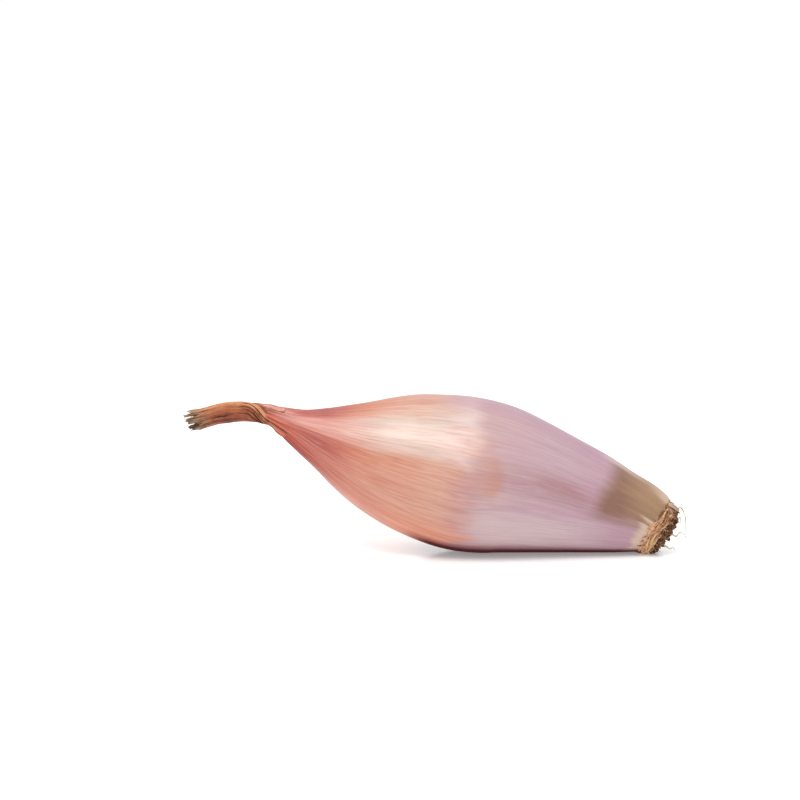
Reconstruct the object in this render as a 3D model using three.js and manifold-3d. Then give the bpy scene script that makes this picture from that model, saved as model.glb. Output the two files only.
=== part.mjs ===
// A banana shallot: a long onion that lies on its side, with its dried neck in the air.
//
// Millimetres, +Z up. The origin is under the middle of the onion, on the plane that it rests on.
// +X runs from the neck to the root end. The bulb has a narrow flat spot, where it rests on z = 0.
// Each piece is turned as on a lathe and then bent, so that its straight axis follows a curved line.

import * as THREE from "three";
import { mergeVertices } from "three/addons/utils/BufferGeometryUtils.js";
import Module from "manifold-3d";

// ---- Driving dimensions ----

const BULB_DIAMETER = 40.4;
const BULB_LENGTH = 102.5; // along the core line, from the neck to the root plate
const NECK_LENGTH = 25;
const NECK_HEIGHT = 5.2;
const NECK_FLATTENING = 0.62; // the neck's depth as a share of its height
const ROOT_PLATE_DIAMETER = 14.8; // where it meets the bulb
const ROOT_FACE_DIAMETER = 12.4;
const ROOT_PLATE_THICKNESS = 2.6;
const ROOT_STUB_COUNT = 30;
const ROOT_STUB_LENGTH = 2.2;
const ROOTLET_DIAMETER = 0.5;
const PIECE_GAP = 0.3; // left between neighbours, so that no two solids overlap

const AROUND_BULB = 52; // facets round each section
const ALONG_BULB = 38;
const AROUND_NECK = 28;
const ALONG_NECK = 18;
const AROUND_PLATE = 36;
const AROUND_STUB = 6;

// The middle of the bulb, from the neck to the root end. It runs on through the root plate.
const CORE_LINE = smoothLine([
  [-41.0, 0.5, 35.2],
  [-31.3, 0.4, 31.2],
  [-18.6, 0.2, 26.7],
  [-6.1, 0.0, 23.4],
  [6.4, 0.0, 20.6],
  [19.0, -0.2, 18.6],
  [35.6, -0.6, 14.2],
  [48.3, -1.4, 10.3],
  [54.0, -2.1, 8.3],
  [57.3, -2.8, 6.7],
  [61.0, -3.7, 4.5],
]);

// The middle of the dried neck, from the bulb to its torn end.
const NECK_LINE = smoothLine([
  [-41.4, 0.5, 35.4],
  [-42.9, 0.6, 35.9],
  [-45.8, 0.9, 36.3],
  [-50.8, 0.6, 36.7],
  [-56.4, -0.4, 36.2],
  [-61.2, -1.4, 35.0],
  [-66.0, -2.2, 34.1],
]);

// Half the bulb's width along its length: [share of BULB_LENGTH, share of half BULB_DIAMETER].
const BULB_OUTLINE = [
  [0.0, 0.134],
  [0.05, 0.21],
  [0.1, 0.33],
  [0.19, 0.579],
  [0.275, 0.777],
  [0.36, 0.908],
  [0.48, 1.0],
  [0.565, 0.985],
  [0.65, 0.911],
  [0.82, 0.678],
  [0.905, 0.545],
  [0.96, 0.45],
  [1.0, 0.378],
];

// Half the neck's height along its length: [share of NECK_LENGTH, share of half NECK_HEIGHT].
const NECK_OUTLINE = [
  [0.0, 0.92],
  [0.12, 1.0],
  [0.3, 0.93],
  [0.5, 0.97],
  [0.68, 0.86],
  [0.8, 0.72],
];

// The torn ends of the dried leaves: how far each tip rises above the neck's middle and comes forward of it,
// the shares of NECK_LENGTH that it runs between, and its height.
const NECK_STRANDS = [
  { rise: 1.5, forward: 0.2, from: 0.52, to: 0.94, height: 2.3 },
  { rise: -0.1, forward: 0.9, from: 0.5, to: 1.0, height: 2.4 },
  { rise: -1.6, forward: -0.5, from: 0.54, to: 0.9, height: 2.0 },
];

// Half a torn leaf end's height along its length, as shares.
const STRAND_OUTLINE = [
  [0, 0.6],
  [0.3, 1],
  [0.7, 0.85],
  [1, 0.35],
];

// The loose rootlets, from the plate to their tips.
const ROOTLETS = [
  [[62.9, -1.6, 11.5], [64.2, -1.2, 11.6], [65.3, -0.8, 9.4], [65.6, -0.6, 6.6], [65.2, -0.9, 3.4]],
  [[62.4, -6.2, 5.0], [63.2, -6.7, 6.2], [64.2, -6.9, 6.0], [65.3, -7.3, 3.7]],
  [[60.6, -8.4, 2.2], [61.3, -9.2, 2.6], [61.9, -10.0, 1.6]],
  [[63.4, 1.6, 7.6], [64.3, 2.6, 8.4], [64.8, 4.0, 7.6], [65.0, 5.2, 5.6]],
];

const SKIN = { color: 0xd8a8a0, roughness: 0.42, metalness: 0 };
const DRY_LEAF = { color: 0xb8704c, roughness: 0.7, metalness: 0 };
const CORK = { color: 0x9c7450, roughness: 0.9, metalness: 0 };
const ROOT_FIBRE = { color: 0xb9a583, roughness: 0.85, metalness: 0 };

// ---- Turning and bending ----

function smoothLine(points) {
  const knots = points.map((p) => new THREE.Vector3(...p));
  return new THREE.CatmullRomCurve3(knots, false, "centripetal");
}

// The place and the cross directions of a line, at a distance along it.
function frameAt(line, distance) {
  const share = THREE.MathUtils.clamp(distance / line.getLength(), 0, 1);
  const along = line.getTangentAt(share);
  const across = new THREE.Vector3(along.y, -along.x, 0).normalize();
  const above = new THREE.Vector3().crossVectors(across, along);
  return { place: line.getPointAt(share), along, across, above };
}

// A form turned about a straight axis, from [half width, distance along the axis] pairs that start and end
// on the axis, and then bent along a line. The shape function may move each point of the straight form first.
function turnedAlong(line, profile, around, shape = (point) => point) {
  const points = profile.map(([halfWidth, distance]) => new THREE.Vector2(halfWidth, distance));
  const geometry = new THREE.LatheGeometry(points, around);
  const position = geometry.getAttribute("position");
  const point = new THREE.Vector3();
  for (let i = 0; i < position.count; i++) {
    shape(point.fromBufferAttribute(position, i));
    const { place, across, above } = frameAt(line, point.y);
    place.addScaledVector(across, point.x).addScaledVector(above, point.z);
    position.setXYZ(i, place.x, place.y, place.z);
  }
  return geometry;
}

// A smooth flank through an outline, closed onto the axis at both ends.
function closedProfile(outline, length, halfWidth, steps, start = 0) {
  const knots = outline.map(([along, wide]) => new THREE.Vector2(wide * halfWidth, start + along * length));
  const flank = new THREE.SplineCurve(knots).getPoints(steps).map((p) => [p.x, p.y]);
  return [[0, flank[0][1]], ...flank, [0, flank[steps][1]]];
}

// ---- Joining and cutting ----

const wasm = await Module();
wasm.setup();

function solidOf(geometry) {
  const bare = geometry.clone();
  bare.deleteAttribute("normal");
  bare.deleteAttribute("uv");
  const merged = mergeVertices(bare, 1e-3);
  const mesh = new wasm.Mesh({
    numProp: 3,
    vertProperties: new Float32Array(merged.getAttribute("position").array),
    triVerts: new Uint32Array(merged.index.array),
  });
  return new wasm.Manifold(mesh);
}

function geometryOf(solid) {
  const { vertProperties, triVerts } = solid.getMesh();
  const geometry = new THREE.BufferGeometry();
  geometry.setAttribute("position", new THREE.BufferAttribute(vertProperties, 3));
  geometry.setIndex(new THREE.BufferAttribute(triVerts, 1));
  geometry.computeVertexNormals();
  return geometry;
}

function joined(solids) {
  return solids.reduce((whole, solid) => whole.add(solid));
}

// Whatever is below the resting plane, to be cut off.
function belowTheSurface() {
  const depth = 20;
  return solidOf(new THREE.BoxGeometry(300, 120, depth).translate(0, 0, -depth / 2));
}

// ---- The pieces ----

// The swollen leaf bases under their papery skin. It is flat where it rests.
function bulb() {
  const profile = closedProfile(BULB_OUTLINE, BULB_LENGTH, BULB_DIAMETER / 2, ALONG_BULB);
  const whole = solidOf(turnedAlong(CORE_LINE, profile, AROUND_BULB));
  return geometryOf(whole.subtract(belowTheSurface()));
}

// The withered tops of the leaves, pressed flat, folded lengthwise and torn into strands.
function neck() {
  const folds = 5;
  const foldDepth = 0.09;
  const foldTwist = 0.3; // radians per millimetre
  function fold(point) {
    const angle = Math.atan2(point.x, point.z);
    const pleat = 1 + foldDepth * Math.cos(folds * angle + foldTwist * point.y);
    point.x *= pleat * NECK_FLATTENING;
    point.z *= pleat;
  }
  const profile = closedProfile(NECK_OUTLINE, NECK_LENGTH, NECK_HEIGHT / 2, ALONG_NECK);
  const stalk = solidOf(turnedAlong(NECK_LINE, profile, AROUND_NECK, fold));
  return geometryOf(joined([stalk, ...NECK_STRANDS.map(neckStrand)]));
}

function neckStrand({ rise, forward, from, to, height }) {
  const start = from * NECK_LENGTH;
  const length = (to - from) * NECK_LENGTH;
  function spread(point) {
    const share = (point.y - start) / length;
    point.x = point.x * NECK_FLATTENING - forward * share;
    point.z += rise * share;
  }
  const profile = closedProfile(STRAND_OUTLINE, length, height / 2, 9, start);
  return solidOf(turnedAlong(NECK_LINE, profile, 12, spread));
}

// The corky disc that the leaves and roots grow from, with the stubs of old roots all over its face.
function rootPlate() {
  const start = BULB_LENGTH + PIECE_GAP;
  const thick = ROOT_PLATE_THICKNESS;
  const rim = ROOT_PLATE_DIAMETER / 2;
  const face = ROOT_FACE_DIAMETER / 2;
  const profile = [
    [0, start],
    [rim, start],
    [rim, start + thick * 0.35],
    [face + 0.4, start + thick * 0.8],
    [face, start + thick],
    [0, start + thick],
  ];
  const disc = solidOf(turnedAlong(CORE_LINE, profile, AROUND_PLATE));
  const stubs = Array.from({ length: ROOT_STUB_COUNT }, (_, i) => rootStub(i));
  return geometryOf(joined([disc, ...stubs]).subtract(belowTheSurface()));
}

// One broken root: a short tapered peg. The pegs lie in a sunflower's spiral and lean outwards.
function rootStub(index) {
  const turn = index * 2.39996; // the golden angle, in radians
  const outness = Math.sqrt((index + 0.5) / ROOT_STUB_COUNT);
  const length = ROOT_STUB_LENGTH * (1 + 0.25 * Math.sin(index * 5.1));
  const lean = THREE.MathUtils.degToRad(55) * outness ** 3;
  const { place, along, across, above } = frameAt(CORE_LINE, BULB_LENGTH + ROOT_PLATE_THICKNESS - 0.6);
  const peg = new THREE.CylinderGeometry(0.42, 0.7, length, AROUND_STUB, 1);
  peg.translate(0, length / 2, 0);
  peg.rotateZ(-lean);
  peg.translate(outness * (ROOT_FACE_DIAMETER / 2 - 0.4), 0, 0);
  peg.rotateY(turn);
  peg.applyMatrix4(new THREE.Matrix4().makeBasis(across, along, above).setPosition(place));
  return solidOf(peg);
}

// A thin dry root that hangs loose.
function rootlet(points) {
  const line = smoothLine(points);
  const tapering = [
    [0, 1],
    [0.5, 0.9],
    [1, 0.45],
  ];
  const profile = closedProfile(tapering, line.getLength(), ROOTLET_DIAMETER / 2, 4 * points.length);
  return turnedAlong(line, profile, 6);
}

// ---- Assembly ----

function piece(name, geometry, look) {
  const mesh = new THREE.Mesh(geometry, new THREE.MeshStandardMaterial(look));
  mesh.name = name;
  return mesh;
}

const onion = new THREE.Group();
onion.add(piece("bulb", bulb(), SKIN));
onion.add(piece("neck", neck(), DRY_LEAF));
onion.add(piece("root_plate", rootPlate(), CORK));
ROOTLETS.forEach((points, i) => onion.add(piece(`rootlet_${i + 1}`, rootlet(points), ROOT_FIBRE)));

const middle = new THREE.Box3().setFromObject(onion).getCenter(new THREE.Vector3());
onion.position.set(-middle.x, -middle.y, 0);

export default onion;
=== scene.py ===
# The looks of a banana shallot that lies on its side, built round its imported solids.
#
# Sizes are in millimetres here, and MM turns them into Blender's metres. +X runs from the neck to the root
# end and z = 0 is the surface that the onion rests on. A place on the onion is given by how far it is along
# a bent middle line, and by its angle round that line: 0 faces the front and a quarter turn faces down.

import math
import random

import bpy
import numpy as np
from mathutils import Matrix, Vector


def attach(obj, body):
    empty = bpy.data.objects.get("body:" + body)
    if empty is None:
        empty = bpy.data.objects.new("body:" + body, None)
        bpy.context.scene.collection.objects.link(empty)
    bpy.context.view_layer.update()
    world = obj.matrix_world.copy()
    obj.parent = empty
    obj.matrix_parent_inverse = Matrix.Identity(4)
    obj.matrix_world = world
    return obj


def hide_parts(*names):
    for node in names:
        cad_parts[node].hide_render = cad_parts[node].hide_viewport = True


MM = 0.001

# ---- The onion's driving dimensions, as the solids have them ----

BULB_DIAMETER = 40.4
BULB_LENGTH = 102.5
NECK_HEIGHT = 5.2
NECK_LENGTH = 25.0
NECK_FLATTENING = 0.62
ROOT_PLATE_DIAMETER = 14.8
ROOT_FACE_DIAMETER = 12.4
ROOT_PLATE_THICKNESS = 2.6

# The solids were centred on their own box, which moved them by this much.
CENTRING = (-0.07, 0.02, 0.0)

CORE_LINE = [
    (-41.0, 0.5, 35.2), (-31.3, 0.4, 31.2), (-18.6, 0.2, 26.7), (-6.1, 0.0, 23.4), (6.4, 0.0, 20.6),
    (19.0, -0.2, 18.6), (35.6, -0.6, 14.2), (48.3, -1.4, 10.3), (54.0, -2.1, 8.3), (57.3, -2.8, 6.7),
    (61.0, -3.7, 4.5),
]
NECK_LINE = [
    (-41.4, 0.5, 35.4), (-42.9, 0.6, 35.9), (-45.8, 0.9, 36.3), (-50.8, 0.6, 36.7),
    (-56.4, -0.4, 36.2), (-61.2, -1.4, 35.0), (-66.0, -2.2, 34.1),
]

# Half the bulb's width along its length: (share of BULB_LENGTH, share of half BULB_DIAMETER).
BULB_OUTLINE = [
    (0.0, 0.134), (0.05, 0.21), (0.1, 0.33), (0.19, 0.579), (0.275, 0.777), (0.36, 0.908), (0.48, 1.0),
    (0.565, 0.985), (0.65, 0.911), (0.82, 0.678), (0.905, 0.545), (0.96, 0.45), (1.0, 0.378),
]
# Half the neck's height along its length, in shares of NECK_LENGTH and of half NECK_HEIGHT.
NECK_OUTLINE = [(0.0, 0.92), (0.12, 1.0), (0.3, 0.93), (0.5, 0.97), (0.68, 0.86), (0.8, 0.72), (1.0, 0.6)]

# The four loose dried roots, from the plate to their tips.
ROOTLETS = [
    [(62.9, -1.6, 11.5), (64.2, -1.2, 11.6), (65.3, -0.8, 9.4), (65.6, -0.6, 6.6), (65.2, -0.9, 3.4)],
    [(62.4, -6.2, 5.0), (63.2, -6.7, 6.2), (64.2, -6.9, 6.0), (65.3, -7.3, 3.7)],
    [(60.6, -8.4, 2.2), (61.3, -9.2, 2.6), (61.9, -10.0, 1.6)],
    [(63.4, 1.6, 7.6), (64.3, 2.6, 8.4), (64.8, 4.0, 7.6), (65.0, 5.2, 5.6)],
]

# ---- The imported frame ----

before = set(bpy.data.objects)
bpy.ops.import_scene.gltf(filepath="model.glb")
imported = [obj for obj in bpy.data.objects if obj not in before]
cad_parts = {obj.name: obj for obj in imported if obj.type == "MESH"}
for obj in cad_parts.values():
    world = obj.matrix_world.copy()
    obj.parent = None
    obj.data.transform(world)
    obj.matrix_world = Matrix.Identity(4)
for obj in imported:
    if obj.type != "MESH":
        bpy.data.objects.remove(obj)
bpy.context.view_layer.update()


# ---- Lines and outlines ----

def smooth_through(knots, steps=40):
    """Points on a smooth line that passes through the knots."""
    knots = np.array(knots, float)
    before = 2 * knots[0] - knots[1]
    after = 2 * knots[-1] - knots[-2]
    padded = np.vstack([before, knots, after])
    pieces = []
    for p0, p1, p2, p3 in zip(padded, padded[1:], padded[2:], padded[3:]):
        d0, d1, d2 = (math.sqrt(np.linalg.norm(b - a)) for a, b in ((p0, p1), (p1, p2), (p2, p3)))
        leave = d1 * ((p1 - p0) / d0 - (p2 - p0) / (d0 + d1) + (p2 - p1) / d1)
        arrive = d1 * ((p2 - p1) / d1 - (p3 - p1) / (d1 + d2) + (p3 - p2) / d2)
        t = np.linspace(0, 1, steps, endpoint=False)[:, None]
        pieces.append(
            (2 * t**3 - 3 * t**2 + 1) * p1
            + (t**3 - 2 * t**2 + t) * leave
            + (3 * t**2 - 2 * t**3) * p2
            + (t**3 - t**2) * arrive
        )
    return np.vstack(pieces + [knots[-1:]])


class BentLine:
    """A smooth line that pieces are bent along, measured by the distance from its start."""

    def __init__(self, knots):
        self.points = smooth_through(knots) + CENTRING
        steps = np.linalg.norm(np.diff(self.points, axis=0), axis=1)
        self.distances = np.concatenate([[0], np.cumsum(steps)])

    def places(self, distances):
        """Points at distances along the line. It runs straight on past its ends."""
        inside = np.clip(distances, 0, self.distances[-1])
        points = np.stack([np.interp(inside, self.distances, c) for c in self.points.T], axis=-1)
        before = (self.points[0] - self.points[1]) / self.distances[1]
        after = (self.points[-1] - self.points[-2]) / (self.distances[-1] - self.distances[-2])
        short = np.clip(-distances, 0, None)[:, None]
        over = np.clip(distances - self.distances[-1], 0, None)[:, None]
        return points + before * short + after * over


def outline(knots, length, half_width, distances):
    """Half the width of a turned form, from its outline in shares. It stays the same past both ends."""
    points = smooth_through(knots)
    return np.interp(distances / length, points[:, 0], points[:, 1]) * half_width


def bulb_radius(distances):
    return outline(BULB_OUTLINE, BULB_LENGTH, BULB_DIAMETER / 2, distances)


def neck_radius(distances):
    return outline(NECK_OUTLINE, NECK_LENGTH, NECK_HEIGHT / 2, distances)


core_line = BentLine(CORE_LINE)


# ---- Node trees ----

def worked_out(operation, other_first=False):
    """A method of Term that adds an operation's Math node, with the other number first if that is asked."""

    def method(self, *others):
        values = (*others, self) if other_first else (self, *others)
        return self.tree.math(operation, *values)
    return method


class Term:
    """A socket that sums can be written with. Each sum adds its Math node."""

    def __init__(self, tree, socket):
        self.tree = tree
        self.socket = socket

    __add__ = __radd__ = worked_out("ADD")
    __sub__ = worked_out("SUBTRACT")
    __rsub__ = worked_out("SUBTRACT", other_first=True)
    __mul__ = __rmul__ = worked_out("MULTIPLY")
    __truediv__ = worked_out("DIVIDE")
    __rtruediv__ = worked_out("DIVIDE", other_first=True)
    __pow__ = worked_out("POWER")
    __abs__ = worked_out("ABSOLUTE")
    most = worked_out("MAXIMUM")
    sine = worked_out("SINE")
    cosine = worked_out("COSINE")

    def __neg__(self):
        return self * -1.0

    def ease(self, low, high, start=0.0, end=1.0):
        """Runs smoothly from start to end as this goes from low to high."""
        settings = {"interpolation_type": "SMOOTHSTEP"}
        inputs = {"Value": self, "From Min": low, "From Max": high, "To Min": start, "To Max": end}
        return self.tree.node("ShaderNodeMapRange", settings, inputs)

    def fade(self, low, high):
        """1 below low, falling smoothly to 0 at high."""
        return self.ease(low, high, 1.0, 0.0)

    def within(self, low, high, soft):
        """1 where this lies between low and high, fading to 0 over a soft edge on both sides."""
        return self.ease(low - soft, low + soft) * self.fade(high - soft, high + soft)


class NodeTree:
    """A shader's or a shape's nodes."""

    def __init__(self, tree):
        self.tree = tree

    def node(self, kind, settings=None, inputs=None, output=0):
        """Adds a node: first its settings, then the values or links of its sockets. Gives one output."""
        node = self.tree.nodes.new(kind)
        for name, value in (settings or {}).items():
            if name == "stops":
                self.set_stops(node.color_ramp, value)
            else:
                setattr(node, name, value)
        for key, value in (inputs or {}).items():
            self.give(self.pick(node.inputs, key), value)
        return Term(self, self.pick(node.outputs, output))

    def give(self, socket, value):
        """Links a term to a socket, or sets the socket's own value."""
        if isinstance(value, Term):
            self.tree.links.new(value.socket, socket)
        else:
            socket.default_value = value

    @staticmethod
    def pick(sockets, key):
        if isinstance(key, int):
            return [s for s in sockets if s.enabled][key]
        return next(s for s in sockets if s.enabled and s.name == key)

    @staticmethod
    def set_stops(ramp, stops):
        """Sets a ramp's colours, which ease into each other, or follow one curve where there are many."""
        ramp.interpolation = "B_SPLINE" if len(stops) > 4 else "EASE"
        while len(ramp.elements) < len(stops):
            ramp.elements.new(1.0)
        for element, (position, colour) in zip(ramp.elements, stops):
            element.position = position
            element.color = linear(colour)

    def other(self, term, output):
        """Another output of the node that a term comes from."""
        return Term(self, self.pick(term.socket.node.outputs, output))

    def math(self, operation, *values):
        return self.node("ShaderNodeMath", {"operation": operation}, dict(enumerate(values)))

    def vector(self, x, y, z):
        return self.node("ShaderNodeCombineXYZ", None, {"X": x, "Y": y, "Z": z})

    def split(self, vector):
        first = self.node("ShaderNodeSeparateXYZ", None, {"Vector": vector})
        return first, self.other(first, "Y"), self.other(first, "Z")

    def arrows(self, operation, *values):
        """A Vector Math node on one or two vectors, or on a vector and a number when it scales."""
        inputs = dict(zip((0, "Scale" if operation == "SCALE" else 1), values))
        return self.node("ShaderNodeVectorMath", {"operation": operation}, inputs)

    def further(self, place, *ways):
        """A place moved along each way, given as a vector and how far to go."""
        for way, far in ways:
            place = self.arrows("ADD", place, self.arrows("SCALE", way, far))
        return place

    def noise(self, vector, scale=1.0, detail=2.0, roughness=0.5, seed=None):
        """Soft noise from 0 to 1, with its middle at 0.5. A seed picks one of many."""
        inputs = {"Vector": vector, "Scale": scale, "Detail": detail, "Roughness": roughness}
        if seed is None:
            return self.node("ShaderNodeTexNoise", None, inputs)
        return self.node("ShaderNodeTexNoise", {"noise_dimensions": "4D"}, inputs | {"W": seed})

    def ripple(self, *form, **seed):
        """The same noise with its middle at 0."""
        return self.noise(*form, **seed) - 0.5


def linear(colour):
    """The light of a colour that is given as a screen shows it, from 0 to 255, with its alpha."""
    return *(((c / 255 + 0.055) / 1.055) ** 2.4 if c > 10 else c / 255 / 12.92 for c in colour), 1.0


class Finish(NodeTree):
    """A material and its nodes. Its colour is painted in layers, one over the other."""

    def __init__(self, name):
        self.material = bpy.data.materials.new(name)
        self.material.use_nodes = True
        super().__init__(self.material.node_tree)
        self.shader = self.tree.nodes["Principled BSDF"]
        self.colour = None

    def attribute(self, name, output="Vector"):
        settings = {"attribute_type": "GEOMETRY", "attribute_name": name}
        return self.node("ShaderNodeAttribute", settings, None, output)

    def grain(self, scale, detail=3.0, roughness=0.6):
        """Noise through the piece's own space, so many waves to the metre, with its middle at 0."""
        place = self.node("ShaderNodeTexCoord", None, None, "Object")
        return self.ripple(place, scale, detail, roughness)

    def ramp(self, share, stops):
        return self.node("ShaderNodeValToRGB", {"stops": stops}, {"Fac": share}, "Color")

    def mix(self, share, first, second):
        """A colour that goes from the first to the second as the share goes from 0 to 1."""
        inputs = {"Factor": share}
        for key, colour in (("A", first), ("B", second)):
            inputs[key] = colour if isinstance(colour, Term) else linear(colour)
        settings = {"data_type": "RGBA", "clamp_factor": True}
        return self.node("ShaderNodeMix", settings, inputs, "Result")

    def paint(self, share, colour):
        """Lays a colour over the finish's own where the share is above 0."""
        self.colour = self.mix(share, self.colour, colour)

    def shade(self, **values):
        """Sets the shader's sockets, each named in words joined by underscores."""
        for name, value in values.items():
            self.give(self.shader.inputs[name.replace("_", " ").title().replace("Ior", "IOR")], value)

    def done(self, relief, depth, **values):
        """The material, once painted. The relief's 0 to 1 stands for a depth in millimetres."""
        normal = self.node("ShaderNodeBump", None, {"Height": relief, "Distance": depth * MM}, "Normal")
        self.shade(base_color=self.colour, normal=normal, **values)
        return self.material


class Shape(NodeTree):
    """Geometry nodes that make a piece. Its sizes are named inputs."""

    SOCKETS = {
        int: "NodeSocketInt",
        float: "NodeSocketFloat",
        tuple: "NodeSocketVector",
        bpy.types.Material: "NodeSocketMaterial",
    }

    def __init__(self, name, sizes):
        super().__init__(bpy.data.node_groups.new(name, "GeometryNodeTree"))
        face = self.tree.interface
        face.new_socket("Geometry", in_out="OUTPUT", socket_type="NodeSocketGeometry")
        face.new_socket("Start", in_out="INPUT", socket_type="NodeSocketGeometry")
        self.sizes = sizes
        for key, value in sizes.items():
            face.new_socket(key, in_out="INPUT", socket_type=self.SOCKETS[type(value)])
        self.given = self.tree.nodes.new("NodeGroupInput")
        self.start = self.size("Start")
        self.position = self.node("GeometryNodeInputPosition")

    def size(self, name):
        return Term(self, self.given.outputs[name])

    def captured(self, geometry, name, value, domain="POINT"):
        """Keeps a value of each point. Gives the geometry, and the value as later steps can read it."""
        kept = self.node("GeometryNodeCaptureAttribute", {"domain": domain}, {"Geometry": geometry})
        node = kept.socket.node
        kind = "VECTOR" if value.socket.type == "VECTOR" else "FLOAT"
        node.capture_items.new(kind, name)
        self.tree.links.new(value.socket, node.inputs[name])
        return kept, Term(self, node.outputs[name])

    def stored(self, geometry, name, value, domain="POINT"):
        """Writes a value of each point where the finish can read it."""
        kind = "FLOAT_VECTOR" if value.socket.type == "VECTOR" else "FLOAT"
        inputs = {"Geometry": geometry, "Name": name, "Value": value}
        settings = {"data_type": kind, "domain": domain}
        return self.node("GeometryNodeStoreNamedAttribute", settings, inputs)

    def placed(self, geometry, position):
        return self.node("GeometryNodeSetPosition", None, {"Geometry": geometry, "Position": position})

    def resampled(self, path):
        return self.node("GeometryNodeResampleCurve", None, {"Curve": path, "Count": self.size("Steps")})

    def shares(self, path):
        """The path, and the share of the way along it of each point."""
        return self.captured(path, "Share", self.node("GeometryNodeSplineParameter"))

    def circle(self, radius=1.0):
        inputs = {"Resolution": self.size("Sides"), "Radius": radius}
        return self.node("GeometryNodeCurvePrimitiveCircle", None, inputs)

    def tube(self, path, circle, radius=None):
        """The circle swept along a path, with closed ends. Its radius is the path's own unless given."""
        radius = radius or self.node("GeometryNodeInputRadius")
        inputs = {"Curve": path, "Profile Curve": circle, "Scale": radius, "Fill Caps": True}
        return self.node("GeometryNodeCurveToMesh", None, inputs)

    def shaken(self, geometry, seed, scale, detail, *amounts):
        """Moves each point in all three directions, by noise times the amounts."""
        parts = []
        for step in range(3):
            part = self.ripple(self.position, scale, detail, seed=seed + 2.0 * step)
            for amount in amounts:
                part = part * amount
            parts.append(part)
        return self.placed(geometry, self.arrows("ADD", self.position, self.vector(*parts)))

    def chance(self, low, high, seed):
        """A random number for each point or instance."""
        inputs = {"Min": low, "Max": high, "Seed": seed}
        return self.node("FunctionNodeRandomValue", {"data_type": "FLOAT"}, inputs)

    def made(self, geometry, name, start, wall=0.0):
        """Ends the tree, runs it on the start object and gives the piece as a plain mesh.

        No point goes below the surface that the onion rests on. A wall is put on a sheet afterwards.
        """
        whole = self.node("GeometryNodeRealizeInstances", None, {"Geometry": geometry})
        whole = self.node("GeometryNodeSetShadeSmooth", None, {"Geometry": whole})
        x, y, z = self.split(self.position)
        whole = self.placed(whole, self.vector(x, y, z.most(wall / 2 * MM)))
        inputs = {"Geometry": whole, "Material": self.size("Finish")}
        whole = self.node("GeometryNodeSetMaterial", None, inputs)
        end = self.tree.nodes.new("NodeGroupOutput")
        self.tree.links.new(whole.socket, end.inputs["Geometry"])
        modifier = start.modifiers.new(name, "NODES")
        modifier.node_group = self.tree
        identifiers = {s.name: s.identifier for s in self.tree.interface.items_tree if s.in_out == "INPUT"}
        for key, value in self.sizes.items():
            modifier[identifiers[key]] = value
        if wall:
            thick = start.modifiers.new("wall", "SOLIDIFY")
            thick.thickness = wall * MM
            thick.offset = 0.0
        evaluated = start.evaluated_get(bpy.context.evaluated_depsgraph_get())
        mesh = bpy.data.meshes.new_from_object(evaluated)
        start.modifiers.clear()
        bpy.data.objects.remove(start)
        return piece_of(name, mesh)


def piece_of(name, data):
    """A new object in the scene, of a mesh or of other data, at the origin."""
    data.name = name
    piece = bpy.data.objects.new(name, data)
    bpy.context.scene.collection.objects.link(piece)
    return piece


def rail(name, *lines):
    """A curve object for a shape to start from: lines of points with a radius at each, in millimetres."""
    curve = bpy.data.curves.new(name, "CURVE")
    curve.dimensions = "3D"
    for points, radii in lines:
        spline = curve.splines.new("POLY")
        spline.points.add(len(points) - 1)
        for knot, place, radius in zip(spline.points, points, radii):
            knot.co = (*(Vector(place) * MM), 1.0)
            knot.radius = radius * MM
    return piece_of(name, curve)


# ---- The turned forms: the bulb and the root plate ----

def turned(shape, name, line, measure):
    """Turns the line's radii round it. Gives the surface, each point's way out from the line, its angle, its
    share along, and its place: the cosine and sine of the angle, and the share.

    The place is stored by name. Measure is what the share counts: the line's Length, or its points' Index.
    """
    share = shape.node("GeometryNodeSplineParameter")
    upright = shape.node("GeometryNodeSetCurveNormal", {"mode": "Z_UP"}, {"Curve": line})
    line, along = shape.captured(upright, "Along", shape.other(share, measure))
    line, middle = shape.captured(line, "Middle", shape.position)
    circle, angle = shape.captured(shape.circle(), "Angle", share * math.tau)
    surface = shape.tube(line, circle)
    along = (along - shape.size("Tuck")) / shape.size("Length")
    place = shape.vector(angle.cosine(), angle.sine(), along)
    surface = shape.stored(surface, name, place)
    outward = shape.arrows("NORMALIZE", shape.arrows("SUBTRACT", shape.position, middle))
    return surface, outward, angle, along, place


def raised(shape, surface, outward, height):
    """Moves each point out by its height."""
    return shape.placed(surface, shape.further(shape.position, (outward, height)))


# ---- Papery skin ----

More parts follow.
